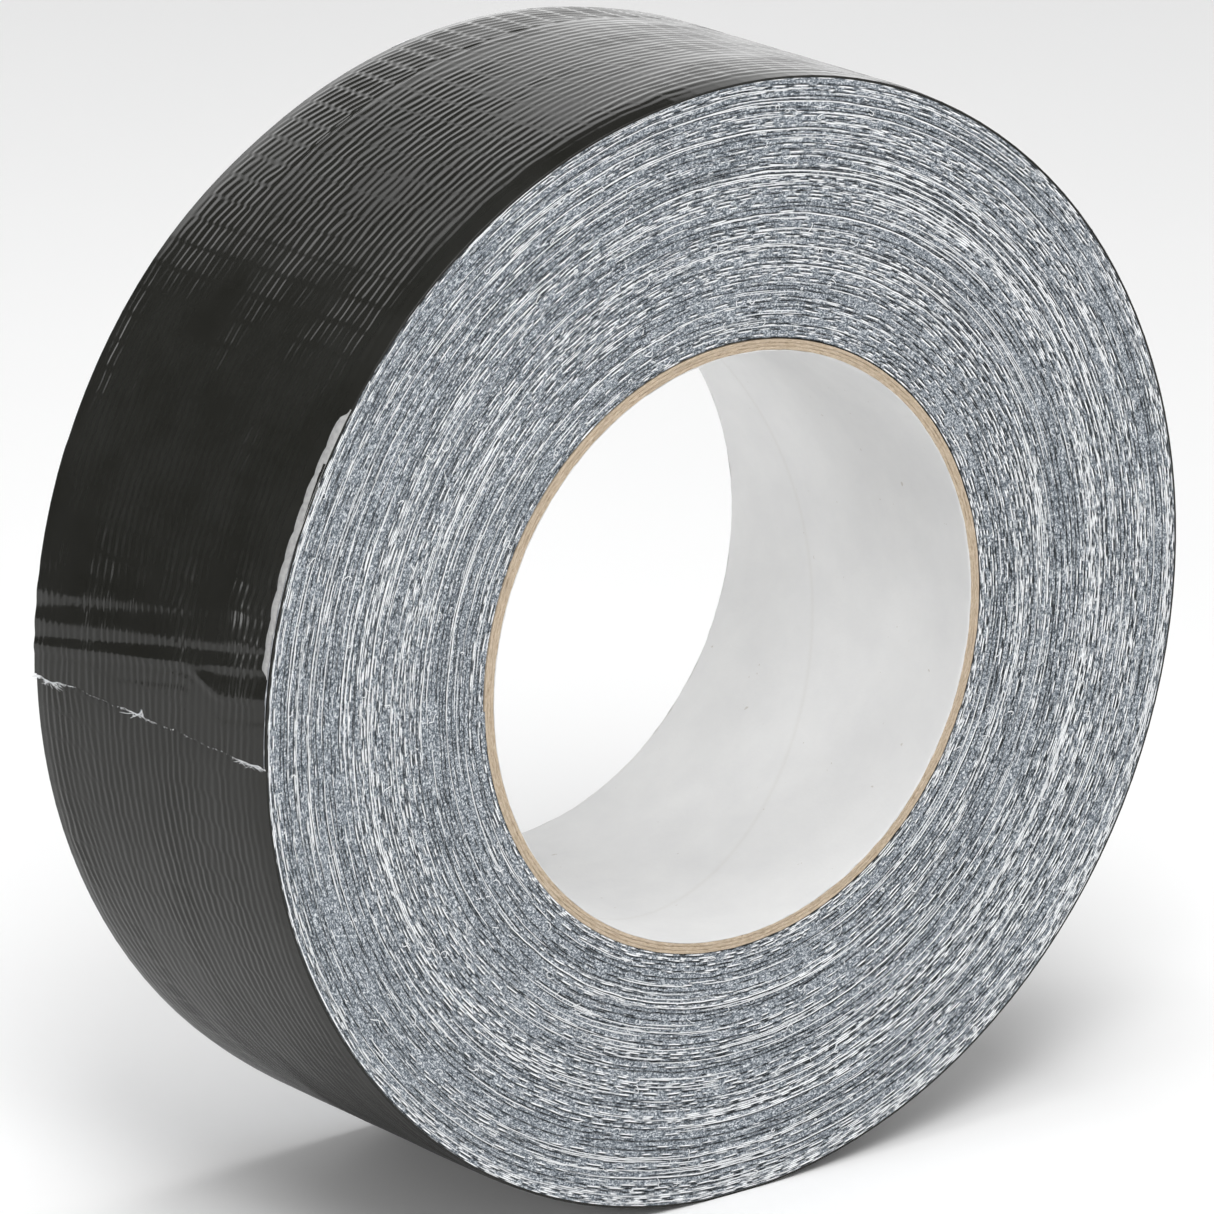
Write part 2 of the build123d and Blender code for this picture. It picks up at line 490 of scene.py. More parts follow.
def tape_grid():
    """Angles of the columns from under the free end to the torn end, and Y of the rows across the tape."""
    count = round((360 + UNDER_END_ANGLE) / COLUMN_ANGLE)
    angle = TAPE_END - np.arange(count, -1, -1) * COLUMN_ANGLE
    y = np.linspace(-HALF_WIDTH, HALF_WIDTH, WARP_COUNT * ROWS_PER_WARP + 1)
    return angle[None, :], y[:, None]


def pressed_flat(angle):
    """0 on the rest flat, where nothing stands proud, and 1 away from it."""
    return 1 - bell((angle - REST_ANGLE + 180) % 360 - 180, 0, 7)


def creased(angle):
    """How strongly the long crease near the far edge shows, from 0 to 1."""
    return ramp(angle, 360 + 62, 360 + 84) * (1 - ramp(angle, 360 + 118, 360 + 140))


def crown(angle, y):
    """How far the film drops towards the two edges of the tape."""
    near = np.clip((NEAR_EDGE_WIDTH - HALF_WIDTH - y) / NEAR_EDGE_WIDTH, 0, 1)
    near_depth = 0.14 + 0.46 * ramp(angle, 360 + 76, 360 + 104) * (1 - ramp(angle, 360 + 150, 360 + 170))
    beyond_crease = np.clip((y - CREASE_Y) / (HALF_WIDTH - CREASE_Y), 0, 1)
    far = np.clip((y - HALF_WIDTH + FAR_EDGE_WIDTH) / FAR_EDGE_WIDTH, 0, 1)
    drop = near_depth * near**2 + 0.45 * creased(angle) * beyond_crease + 0.30 * far**2
    return drop * pressed_flat(angle)


def end_waves(angle, y):
    """Waves in the loosened end, which cross the tape at a slant, and one sharp fold among them."""
    from_end = TAPE_END - angle
    slant = 7.0 * (HALF_WIDTH - y) / (2 * HALF_WIDTH)
    along = from_end - slant
    crests = np.interp(along, (-1.0, 2.0, 4.3, 7.5, 11.0, 14.5), (-1, 0, 1, 2, 3, 4))
    fading = (1 - ramp(along, 8.0, 13.0)) * ramp(along, 0.6, 2.6)
    fold_at = 2.3 + slant - 2.9 * ramp(-y, 7, 16.5)
    beside_fold = from_end - fold_at
    profile = np.where(beside_fold > 0, bell(beside_fold, 0, 1.3), bell(beside_fold, 0, 0.4))
    fold = FOLD_HEIGHT * profile * (1 - 0.75 * ramp(y, -4, 14))
    dent = -0.05 * bell(beside_fold, -1.9, 0.5) * ramp(np.abs(y + 12), 1, 5) * (1 - ramp(y, 4, 12))
    return WAVE_HEIGHT * np.sin(2 * math.pi * crests) * fading + fold + dent


def film_relief(angle, y):
    """Height of the film over its mean: pillows over the warp yarns, steps over the weft yarns, and waves."""
    rows, columns = y.shape[0], angle.shape[1]
    per_column = TREAD_RADIUS * math.radians(COLUMN_ANGLE)
    per_row = WARP_PITCH / ROWS_PER_WARP
    wander = smooth_noise(11, rows, columns, 3 / per_row, 12 / per_column)
    jitter = smooth_noise(12, rows, columns, 0.7 / per_row, 1.2 / per_column)
    strength = smooth_noise(13, rows, columns, 1.4 / per_row, 3.5 / per_column)
    skew = smooth_noise(14, rows, columns, 9 / per_row, 30 / per_column)
    lean = smooth_noise(16, rows, columns, 2.5 / per_row, 14 / per_column)

    weft_phase = (TAPE_END - angle) / WEFT_ANGLE + 0.10 * skew + 0.05 * wander
    in_cell = weft_phase % 1
    at_weft = np.minimum(in_cell, 1 - in_cell)
    beyond = ramp(y, CREASE_Y - 0.4, CREASE_Y + 0.6) * creased(angle)
    slant = (0.62 * beyond + 0.13 + 0.16 * lean) * (in_cell - 0.5) * ramp(at_weft, 0, 0.10)
    warp_phase = (y + slant + 0.10 * wander + 0.04 * jitter + HALF_WIDTH) / WARP_PITCH - 0.5
    in_rib = (warp_phase + 0.04 * jitter) % 1
    rising = in_rib / RIB_FLANK
    falling = 0.5 + 0.5 * np.cos(math.pi * (in_rib - RIB_FLANK) / (1 - RIB_FLANK))
    pillow = np.where(in_rib < RIB_FLANK, rising, falling)

    edge_fade = ramp(HALF_WIDTH - np.abs(y), 0.3, 2.6)
    height = RIB_HEIGHT * (1 + 0.22 * strength + 0.5 * beyond) * edge_fade
    height = height * (1 - 0.5 * bell(at_weft, 0, 0.08))
    weft = WEFT_HEIGHT * (1 + 0.3 * strength) * bell(at_weft, 0, 0.11)
    waves = 0.016 * smooth_noise(15, rows, columns, 6 / per_row, 9 / per_column)
    crease = -0.10 * bell(y, CREASE_Y + 0.30 * wander, 0.35) * creased(angle)
    under_end = 1 - ramp(angle, TORN_END - 1.5, TORN_END - 0.3)
    texture = height * pillow + weft + waves + crease + end_waves(angle, y)
    return texture * (1 - 0.65 * under_end) * (0.15 + 0.85 * pressed_flat(angle)) - crown(angle, y)


ANGLES, ROWS_Y = tape_grid()
FILM_RADIUS = outer_radius(ANGLES) + film_relief(ANGLES, ROWS_Y)
FILM_POINTS = polar(FILM_RADIUS, ANGLES, ROWS_Y)
FILM_NORMALS = grid_normals(FILM_POINTS)
COLUMN_COUNT = ANGLES.shape[1]


def column_at(wefts_from_end):
    """Number of the film column at a place counted in weft yarns from the torn end."""
    return COLUMN_COUNT - 1 - wefts_from_end * COLUMNS_PER_WEFT


def row_at(y):
    """Number of the film row nearest to a place across the tape."""
    row = np.round((np.asarray(y) + HALF_WIDTH) / WARP_PITCH * ROWS_PER_WARP).astype(int)
    return np.clip(row, 0, len(ROWS_Y) - 1)


def outer_wrap_film():
    """The film that stays on the roll, in sectors, with its edges turned down over the sides."""
    stops = np.linspace(0, column_at(BENDING_STARTS), FILM_SECTORS + 1).round().astype(int)
    turned = ((0.03, 0.03), (0.05, 0.10), (0.05, 0.30))  # outwards and inwards, from the film's edge
    for number, (first, last) in enumerate(zip(stops[:-1], stops[1:]), 1):
        columns = slice(first, last + 1)
        angle = ANGLES[:, columns]
        near = [polar(FILM_RADIUS[:1, columns] - drop, angle, -HALF_WIDTH - out) for out, drop in turned]
        far = [polar(FILM_RADIUS[-1:, columns] - drop, angle, HALF_WIDTH + out) for out, drop in turned]
        grid = np.concatenate(near[::-1] + [FILM_POINTS[:, columns]] + far)
        free = np.zeros((len(turned), angle.shape[1], 3))
        normals = np.concatenate([free, FILM_NORMALS[:, columns], free])
        faces = grid_faces(*grid.shape[:2], flip=True)
        piece = make_mesh(f"outer_film_{number}", grid, faces, normals=normals)
        finish_piece(piece, FILM, "roll", replaces=["outer_wrap_film"])


def ribbons(name, tops, thickness):
    """One mesh of many flat closed ribbons, from the grids of points on their outer faces."""
    points, faces, first = [], [], 0
    for top in tops:
        away = top * (1, 0, 1)
        under = top - away / np.linalg.norm(away, axis=-1, keepdims=True) * thickness
        loop = np.stack([top[0], top[-1], under[-1], under[0]], axis=1)
        count = len(loop)
        here = np.arange(count - 1)[:, None] * 4 + np.arange(4)[None, :]
        after = np.arange(count - 1)[:, None] * 4 + (np.arange(4)[None, :] + 1) % 4
        sides = np.stack([here, here + 4, after + 4, after], axis=-1).reshape(-1, 4)
        ends = np.array([[0, 1, 2, 3], np.array([3, 2, 1, 0]) + 4 * (count - 1)])
        points.append(loop.reshape(-1, 3))
        faces.append(np.concatenate([sides, ends]) + first)
        first += count * 4
    return make_mesh(name, np.concatenate(points), np.concatenate(faces))


def outer_wrap_cloth():
    """Warp yarns, weft yarns and adhesive under the film of the outermost wrap, up to the free end."""
    columns = np.arange(column_at(BENDING_STARTS), round(UNDER_END_ANGLE / COLUMN_ANGLE), -4)[::-1]
    lowest = FILM_RADIUS - FILM_THICKNESS - 0.05
    warps = []
    for index in range(WARP_COUNT):
        middle = (index + 0.5) * WARP_PITCH - HALF_WIDTH
        y = middle + np.array([-0.22, 0.22])[:, None]
        radius = lowest[row_at(middle), columns][None, :]
        warps.append(polar(radius, ANGLES[:, columns], y))
    yarns = ribbons("outer_warp_yarns", warps, 0.05)
    finish_piece(yarns, COTTON, "roll", replaces=["outer_wrap_warp_yarns"])

    wefts = []
    y = np.linspace(0.25 - HALF_WIDTH, HALF_WIDTH - 0.25, 60)
    for column in range(column_at(BENDING_STARTS) - COLUMNS_PER_WEFT // 2, columns[0], -COLUMNS_PER_WEFT):
        angle = ANGLES[0, column] + np.array([0.16, -0.16])[:, None]
        wefts.append(polar(lowest[row_at(y), column][None, :] - 0.052, angle, y[None, :]))
    yarns = ribbons("outer_weft_yarns", wefts, 0.04)
    finish_piece(yarns, COTTON, "roll", replaces=["outer_wrap_weft_yarns"])

    across = np.linspace(-HALF_WIDTH, HALF_WIDTH, 60)[:, None]
    radius = lowest[row_at(across[:, 0])][:, columns] - 0.095
    top = polar(radius, ANGLES[:, columns], across)
    bottom = polar(radius - 0.04, ANGLES[:, columns], across)
    coat = slab("outer_adhesive", top, bottom, {"yarn": np.zeros(radius.shape)})
    finish_piece(coat, ADHESIVE, "roll", replaces=["outer_wrap_adhesive"])


def torn_edge():
    """How far each row's torn end lies beyond the nominal end, in millimetres."""
    rows = ROWS_Y.shape[0]
    y = ROWS_Y[:, 0]
    rough = smooth_noise(21, 1, rows, 0, 4)[0] * 0.10 + smooth_noise(22, 1, rows, 0, 14)[0] * 0.12
    notch = -0.85 * bell(y, 0.8, 0.45)
    return rough + notch


def torn_angles(first, last):
    """Angles of a range of columns, with the last few drawn out to the torn edge."""
    angle = np.repeat(ANGLES[:, first:last], ROWS_Y.shape[0], axis=0)
    share = ramp(angle, TAPE_END - 6 * COLUMN_ANGLE, TAPE_END)
    return angle + share * np.degrees(torn_edge()[:, None] / TREAD_RADIUS)


def yarn_pattern(angle, y):
    """1 over the yarns of the cloth and 0 between them, as seen through the adhesive."""
    warp = bell(((y + HALF_WIDTH) / WARP_PITCH) % 1 - 0.5, 0, 0.20)
    weft = bell(((TAPE_END - angle) / WEFT_ANGLE) % 1 - 0.5, 0, 0.08)
    return np.maximum(warp, weft)


def free_end():
    """Film, yarns and adhesive of the free end, one length for each segment."""
    for segment, (start, end) in enumerate(BENDING_LENGTHS, 1):
        first, last = column_at(start), column_at(end) + 1
        angle = torn_angles(first, last)
        y = np.repeat(ROWS_Y, angle.shape[1], axis=1)
        radius = FILM_RADIUS[:, first:last]
        under_film = radius - FILM_THICKNESS
        film = slab(
            f"end_film_{segment}",
            polar(radius, angle, y),
            polar(under_film, angle, y),
            normals=FILM_NORMALS[:, first:last],
        )
        finish_piece(film, FILM, blended=segment, replaces=[f"end_tab_{segment}_film"])

        pattern = yarn_pattern(angle, y)
        lowest = outer_radius(angle) - crown(angle, y) - TAPE_THICKNESS
        under = np.minimum(lowest + 0.03 - 0.03 * pattern, under_film - 0.05)
        adhesive = slab(
            f"end_adhesive_{segment}",
            polar(under_film - 0.002, angle, y),
            polar(under, angle, y),
            {"yarn": 0.55 * pattern},
        )
        nodes = [f"end_tab_{segment}_{layer}" for layer in ("adhesive", "warp_yarns", "weft_yarns")]
        finish_piece(adhesive, ADHESIVE, blended=segment, replaces=nodes)


def folded_edge():
    """The narrow strip where the film's near edge has turned over and shows its pale underside."""
    first_angle, last_angle = 505.4, 532
    begin = COLUMN_COUNT - 1 - round((TAPE_END - first_angle + 0.3) / COLUMN_ANGLE)
    lengths = [(begin, column_at(BENDING_STARTS), None)]
    lengths += [(column_at(a), column_at(b), s) for s, (a, b) in enumerate(BENDING_LENGTHS[:3], 1)]
    across = np.linspace(0, 1, 9)[:, None]
    wobble = smooth_noise(31, 1, COLUMN_COUNT, 0, 5)
    for number, (first, last, segment) in enumerate(lengths, 1):
        columns = slice(first, last + 1)
        angle = ANGLES[:, columns]
        scallop = 0.20 * np.abs(np.sin(math.pi * (TAPE_END - angle) / WEFT_ANGLE)) ** 0.6
        present = ramp(angle, first_angle, first_angle + 1) * (1 - ramp(angle, last_angle - 0.8, last_angle))
        width = (0.98 + scallop + 0.06 * wobble[:, columns]) * (0.15 + 0.85 * present)
        y = -HALF_WIDTH - 0.07 + width * across
        film = np.take_along_axis(FILM_RADIUS[:, columns], row_at(y), axis=0)
        arch = 0.03 + 0.13 * np.sin(math.pi * np.clip(across * 1.1, 0, 1)) ** 0.6 * present
        piece = slab(f"folded_edge_{number}", polar(film + arch, angle, y), polar(film + 0.01, angle, y))
        finish_piece(piece, FOLDED_EDGE, body="roll", blended=segment)


# Stretches of the last weft yarn that show along the torn edge: where they start and stop in Y, and radius
LOOSE_WEFTS = [
    (23.8, 20.4, 0.12),
    (20.8, 13.0, 0.075),
    (13.4, 7.8, 0.055),
    (5.2, -1.6, 0.12),
    (-18.6, -24.2, 0.08),
]


def torn_threads():
    """Cotton standing out of the torn edge: the last weft yarn along it, and tufts of broken warp yarn."""
    rng = np.random.default_rng(41)
    edge = torn_edge()
    ground = outer_radius(np.array([TORN_END + 0.5]))[0] + 0.05
    paths, radii = [], []
    for start, stop, radius in LOOSE_WEFTS:
        y = np.linspace(start, stop, 40)
        out = edge[row_at(y)] + 0.03 + 0.05 * smooth_noise(round(start * 10) + 500, 1, 40, 0, 1.5)[0]
        paths.append(polar(ground + 0.02, TAPE_END + np.degrees(out / TREAD_RADIUS), y))
        radii.append(radius)
    for yarn in range(WARP_COUNT):
        middle = (yarn + 0.5) * WARP_PITCH - HALF_WIDTH
        tuft = bell(middle, 21.5, 3) + 0.9 * bell(middle, 1.6, 2.6) + 0.8 * bell(middle, -21.5, 3.2)
        for _ in range(4 + round(22 * min(tuft, 1))):
            y = middle + rng.normal(0, 0.4)
            length = rng.uniform(0.1, 0.3) + 0.9 * tuft * rng.uniform(0, 1) ** 3
            along = np.linspace(-0.15, length, 9)
            sweep = rng.normal(0, 1.1 + tuft) * (along / max(length, 0.3)) ** 2 * (0.25 + 0.6 * tuft)
            lift = 0.03 + rng.uniform(0, 0.3) * np.clip(along, 0, None)
            angle = TAPE_END + np.degrees((edge[row_at(y)] + along) / TREAD_RADIUS)
            paths.append(polar(ground + lift, angle, np.clip(y + sweep, -HALF_WIDTH - 0.3, HALF_WIDTH + 0.3)))
            radii.append(rng.uniform(0.022, 0.045))
    piece = tubes("torn_threads", paths, radii, sides=4)
    finish_piece(piece, COTTON, f"tab_{TAB_SEGMENTS}")


# ---------------------------------------------------------------- wound sides

WOUND_WRAPS = WRAP_COUNT - 1
SIDE_COLUMNS = round(360 / SIDE_COLUMN_ANGLE)
SIDE_MM_PER_COLUMN = SIDE_RADIUS * math.radians(SIDE_COLUMN_ANGLE)
WEFT_PITCH = 73.2 * math.radians(WEFT_ANGLE)
UNFLATTENED_RADIUS = 73.16
FLATTENING_STARTS = 60
YARN_ENDS_PER_SIDE = 900
FIBRES_PER_SIDE = 420


def along_the_tape(seed, length, set_off=0.0):
    """Noise that runs on along the tape from wrap to wrap, one row per wrap.

    Length is the size of its blobs along the tape, and set_off makes each wrap differ from its neighbours.
    """
    strip = smooth_noise(seed, 1, WOUND_WRAPS * SIDE_COLUMNS, 0, length / SIDE_MM_PER_COLUMN)[0]
    strip = strip - set_off * (np.roll(strip, SIDE_COLUMNS) + np.roll(strip, -SIDE_COLUMNS))
    strip = np.append(strip, strip[-1]) / strip.std()
    return strip[np.arange(WOUND_WRAPS)[:, None] * SIDE_COLUMNS + np.arange(SIDE_COLUMNS + 1)[None, :]]


def round_the_roll(seed, wraps, length):
    """Noise that closes on itself round the roll, with blobs some wraps deep and some millimetres long."""
    field = smooth_noise(seed, WOUND_WRAPS, SIDE_COLUMNS, wraps, length / SIDE_MM_PER_COLUMN)
    return np.concatenate([field, field[:, :1]], axis=1)


def weft_dashes(seed):
    """1 where the last warp yarn lies bare at the cut edge, and 0 where a weft yarn crosses under it."""
    within_wrap = np.radians(SIDE_COLUMN_ANGLE) * np.arange(SIDE_COLUMNS + 1)
    turn = 2 * math.pi * np.arange(WOUND_WRAPS)[:, None] + within_wrap
    length = CORE_RADIUS * turn + WRAP_PITCH * turn**2 / (4 * math.pi)
    phase = length / WEFT_PITCH + 0.05 * along_the_tape(seed, 4)
    return ramp(np.abs(phase % 1 - 0.5) * 2, 0.25, 0.55)


def side_fields(seed):
    """Relief of one wound side, outwards, with where its yarns show white, and where black film or painted
    shade beside the yarns darkens it.
    """
    dash = weft_dashes(seed)
    ragged = ramp(along_the_tape(seed + 1, 0.35), -1.2, 0.3)
    yarn_level = along_the_tape(seed + 2, 14, 0.4) + 0.35 * along_the_tape(seed + 3, 1.6, 0.4)
    film_level = along_the_tape(seed + 4, 9, 0.4) + 0.45 * along_the_tape(seed + 5, 1.0, 0.4)
    long_yarn = ramp(along_the_tape(seed + 6, 22, 0.3), 1.6, 2.1)
    yarn_level += 0.75 * round_the_roll(seed + 10, 4, 60)
    yarn = np.maximum(ramp(yarn_level, 0.25, 0.8) * dash * ragged, long_yarn * (0.7 + 0.3 * ragged))
    # Dark share of the edge: black film where it shows, and painted shade on the wrap beside each white yarn.
    film = np.maximum(ramp(film_level, 0.5, 0.8) * (1 - 0.3 * dash), np.roll(yarn, 1, axis=0)) * (1 - yarn)

    offset = 0.020 * along_the_tape(seed + 7, 10, 0.3) + 0.012 * along_the_tape(seed + 8, 0.9, 0.3)
    offset += 0.06 * round_the_roll(seed + 9, 9, 40)
    shape = (WOUND_WRAPS, SAMPLES_PER_WRAP, SIDE_COLUMNS + 1)
    relief, white, black_and_shade = np.zeros(shape), np.zeros(shape), np.zeros(shape)
    relief += offset[:, None]
    relief[:, 0] -= 0.02 + 0.05 * film
    relief[:, 1] += 0.02 * yarn
    relief[:, 2] += 0.06 * yarn
    white[:, 1:] = yarn[:, None]
    # Darkening rows: black film, and the painted shade beside the yarns, deepest on each wrap's first row.
    black_and_shade[:, 0] = 0.15 + 0.85 * film
    black_and_shade[:, 1] = film
    black_and_shade[:, 2] = 0.45 * film
    return [field.reshape(-1, SIDE_COLUMNS + 1) for field in (relief, white, black_and_shade)]


def wandering(seed):
    """How far each wrap's edge wanders in and out. Neighbouring wraps wander together."""
    wander = 0.055 * round_the_roll(seed, 3.0, 2.2) + 0.03 * round_the_roll(seed + 1, 2.0, 0.8)
    return np.repeat(wander, SAMPLES_PER_WRAP, axis=0)


def wound_side(side, name, seed):
    """One wound side in sectors. Side is -1 for the front and 1 for the back."""
    relief, thread, black_film_and_shade = side_fields(seed)
    rows = len(relief)
    angle = TORN_END + np.arange(SIDE_COLUMNS + 1) * SIDE_COLUMN_ANGLE
    turns = np.arange(rows)[:, None] / SAMPLES_PER_WRAP + (angle - TORN_END) / 360
    radius = CORE_RADIUS + WRAP_PITCH * turns
    rim = CORE_RADIUS + WRAP_PITCH * WOUND_WRAPS
    inside = ramp(radius, CORE_RADIUS, CORE_RADIUS + 1) * ramp(-radius, -rim, 1 - rim)
    radius = radius + wandering(seed + 20) * inside
    height = relief * (0.3 + 0.7 * inside)
    from_rest = (angle - REST_ANGLE + 180) % 360 - 180
    flattening = 1 + FLOOR_Z / UNFLATTENED_RADIUS
    outer_share = np.clip((radius - FLATTENING_STARTS) / (TREAD_RADIUS - FLATTENING_STARTS), 0, 1)
    flattened = flattening * outer_share * bell(from_rest, 0, FLAT_HALF_ANGLE)
    dropped = crown(angle + 360 * (angle < TORN_END + 1e-6), side * HALF_WIDTH) * ramp(radius, rim - 7, rim)
    points = polar(radius * (1 - flattened) - dropped, angle, side * (HALF_WIDTH + height))
    normals = grid_normals(points) * -side
    step = SIDE_COLUMNS // SIDE_SECTORS
    for number in range(SIDE_SECTORS):
        part = (slice(None), slice(number * step, (number + 1) * step + 1))
        faces = grid_faces(rows, step + 1, flip=side < 0)
        # The second colour field carries black film and painted shade beside the yarn ends.
        fields = {"thread": thread[part], "black_film_and_shade": black_film_and_shade[part]}
        piece = make_mesh(f"{name}_side_{number + 1}", points[part], faces, fields, normals[part])
        finish_piece(piece, TAPE_EDGE, "roll", replaces=["tape_winding"])


def side_threads(side, name, seed):
    """Yarn ends lying along the wraps and curly loose fibres, as fine tubes on one wound side."""
    rng = np.random.default_rng(seed)
    limit = CORE_RADIUS + WRAP_PITCH * (WRAP_COUNT - 2)
    paths, radii = [], []
    for _ in range(YARN_ENDS_PER_SIDE):
        radius = math.sqrt(rng.uniform((CORE_RADIUS + 0.4) ** 2, limit**2))
        length = min(rng.lognormal(1.5, 0.9), 45)
        count = max(6, int(length / 0.6))
        angle = rng.uniform(0, 360) + np.degrees(np.linspace(0, length, count) / radius)
        follow = WRAP_PITCH * (angle - angle[0]) / 360
        wobble = 0.03 * np.cumsum(rng.normal(0, 0.6, count))
        wobble -= np.linspace(0, wobble[-1], count)
        rise = np.interp(np.arange(count), [0, count / 2, count], rng.normal(0, 1, 3))
        height = HALF_WIDTH + 0.06 + 0.03 * np.abs(rise)
        paths.append(polar(np.minimum(radius + follow + wobble, limit), angle, side * height))
        radii.append(rng.uniform(0.045, 0.085))
    threads = tubes(f"{name}_threads", paths, radii, flatness=0.7, sides=5)
    finish_piece(threads, COTTON, "roll")

    paths, radii = [], []
    for _ in range(FIBRES_PER_SIDE):
        radius = math.sqrt(rng.uniform((CORE_RADIUS + 1) ** 2, (limit - 1) ** 2))
        start = rng.uniform(0, 360)
        count = 16
        bend = np.cumsum(rng.normal(rng.normal(0, 0.3), 0.3, count)) + rng.uniform(0, 2 * math.pi)
        step = rng.uniform(0.05, 0.17)
        out = np.cumsum(np.cos(bend)) * step * 0.7
        along = np.cumsum(np.sin(bend)) * step
        lift = HALF_WIDTH + 0.10 + rng.uniform(0.05, 0.30) * np.sin(np.linspace(0, math.pi, count))
        where = np.clip(radius + out, CORE_RADIUS + 0.3, limit)
        paths.append(polar(where, start + np.degrees(along / radius), side * lift))
        radii.append(rng.uniform(0.045, 0.075))
    fibres = tubes(f"{name}_fibres", paths, radii, sides=4)
    finish_piece(fibres, COTTON, "roll")


# ---------------------------------------------------------------- paper tube


def ring_faces(around, loop):
    """Quads of a closed tube wall: a loop of points carried round the axis, stored column by column."""
    column = np.arange(around)[:, None] * loop
    ahead = (np.arange(around)[:, None] + 1) % around * loop
    point = np.arange(loop)[None, :]
    after = (point + 1) % loop
    return np.stack([column + point, column + after, ahead + after, ahead + point], axis=-1).reshape(-1, 4)


# The liner's spiral seam: how far it runs along the axis in one turn, and where it starts
SEAM_LEAD = 76.0
SEAM_START = 9


def paper_ply(name, inner, outer, material, seed, wall_rows=2):
    """One ply of the tube: a closed wall with slightly rough cut ends and softly rounded edges."""
    around = 720
    angle = np.arange(around)[:, None] * 360 / around
    wall = np.linspace(-1, 1, wall_rows)
    soft = min(0.04, (outer - inner) / 4)
    ends = [(inner + soft, 1.0), ((inner + outer) / 2, 1.0), (outer - soft, 1.0)]
    profile = [(inner, y * (1 - soft / HALF_WIDTH)) for y in wall]
    profile += ends + [(outer, 1 - soft / HALF_WIDTH), (outer, -1 + soft / HALF_WIDTH)]
    profile += [(radius, -1.0) for radius, _ in reversed(ends)]
    radius = np.array([point[0] for point in profile])[None, :]
    share = np.array([point[1] for point in profile])[None, :]
    fray = 0.035 * smooth_noise(seed, len(profile), around, 0.5, 1.5).T
    fray = fray + 0.02 * smooth_noise(seed + 1, 1, around, 0, 6).T
    cut = np.where(np.abs(share) > 0.99, fray, 0)
    y = HALF_WIDTH * share + np.sign(share) * (cut - 0.02)
    seam = np.zeros((around, len(profile)))
    if name == "core_liner":
        turn = (angle / 360 * SEAM_LEAD - y + SEAM_START) % SEAM_LEAD
        across = np.minimum(turn, SEAM_LEAD - turn)
        on_wall = np.arange(len(profile))[None, :] < wall_rows
        seam = bell(across, 0, 0.3) * on_wall
        radius = radius + 0.03 * seam
    points = polar(radius, angle, y)
    piece = make_mesh(name, points, ring_faces(around, len(profile)), {"seam": 0.15 * seam})
    return finish_piece(piece, material, "roll", replaces=[name])


def paper_tube():
    """The white liner and the three kraft plies round it."""
    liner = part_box("core_liner")[1].x / MM
    paper_ply("core_liner", BORE_RADIUS, liner, LINER, 71, wall_rows=128)
    inner = liner
    for number, name in enumerate(("core_ply_inner", "core_ply_middle", "core_ply_outer")):
        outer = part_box(name)[1].x / MM
        paper_ply(name, inner + 0.01, outer - 0.01, KRAFT, 80 + 5 * number)
        inner = outer


# ---------------------------------------------------------------- floor, light and camera


CAMERA_AZIMUTH = -37.9
CAMERA_ELEVATION = 17.2
CAMERA_DISTANCE = 1.168
CAMERA_LENS = 272.5
CAMERA_AIM = Vector((-1.1, 0.7, -0.5)) * MM


def toward(azimuth, elevation):
    """Unit vector from the roll. Azimuth 0 is in front of it, at -Y, and 90 at +X."""
    a, e = math.radians(azimuth), math.radians(elevation)
    return Vector((math.sin(a) * math.cos(e), -math.cos(a) * math.cos(e), math.sin(e)))


FLOOR_AZIMUTHS = np.arange(0, 361, 5)
FLOOR_REACH = 3000
DARK_BEHIND_LEFT = 2560


def floor_sheet(name, z, reach, dark_tone, pale_tone):
    """Flat round sheet at height z. Its reach is one length, or one for each of FLOOR_AZIMUTHS."""
    turn = np.radians(FLOOR_AZIMUTHS)[:, None]
    spread = 1 + np.linspace(0, 1, 60)[None, :] ** 2 * np.broadcast_to(reach, len(turn))[:, None]
    points = np.stack([np.sin(turn) * spread, -np.cos(turn) * spread, np.full(spread.shape, z)], axis=-1)
    piece = make_mesh(name, points, grid_faces(*points.shape[:2], flip=True))
    shader = Shader(name + "_paper")
    paper = shader.noise(shader.place, 3, 3)
    shader.link("Base Color", shader.ramp(paper, (0.3, [dark_tone] * 3), (0.7, [pale_tone] * 3)))
    shader.set(Roughness=0.9)
    piece.data.materials.append(shader.material)
    return piece


def floor():
    """A plain pale floor, and a shorter copy that only the glossy film mirrors, painted greyer as shade on
    the floor that the film reflects.
    """
    plain = floor_sheet("floor", FLOOR_Z, FLOOR_REACH, 0.91, 0.94)
    plain.visible_glossy = False
    behind_left = bell(FLOOR_AZIMUTHS, 220, 45) ** 0.3
    mirrored_reach = FLOOR_REACH - DARK_BEHIND_LEFT * behind_left
    # The mirrored copy's grey is painted shade: a darker copy of the pale floor for the film to reflect.
    shaded_mirror_copy = floor_sheet("mirrored_shaded_floor", FLOOR_Z + 0.5, mirrored_reach, 0.44, 0.46)
    shaded_mirror_copy.visible_camera = False
    shaded_mirror_copy.visible_diffuse = False
    shaded_mirror_copy.visible_shadow = False


def softbox(name, azimuth, elevation, distance, width, height, power):
    """A soft rectangular light that faces the roll."""
    light = bpy.data.lights.new(name, "AREA")
    light.shape = "RECTANGLE"
    light.size, light.size_y, light.energy = width, height, power
    lamp = bpy.data.objects.new(name, light)
    bpy.context.scene.collection.objects.link(lamp)
    lamp.location = toward(azimuth, elevation) * distance
    lamp.rotation_mode = "QUATERNION"
    lamp.rotation_quaternion = toward(azimuth, elevation).to_track_quat("Z", "Y")
    lamp.visible_camera = False
    return lamp


# Where the bright wall behind the roll ends, as an azimuth and an elevation
WALL_LEFT_EDGE = 188
WALL_TOP = 44
WINDOW_EDGE = math.cos(math.radians(17))
WINDOW_FULL = math.cos(math.radians(10))


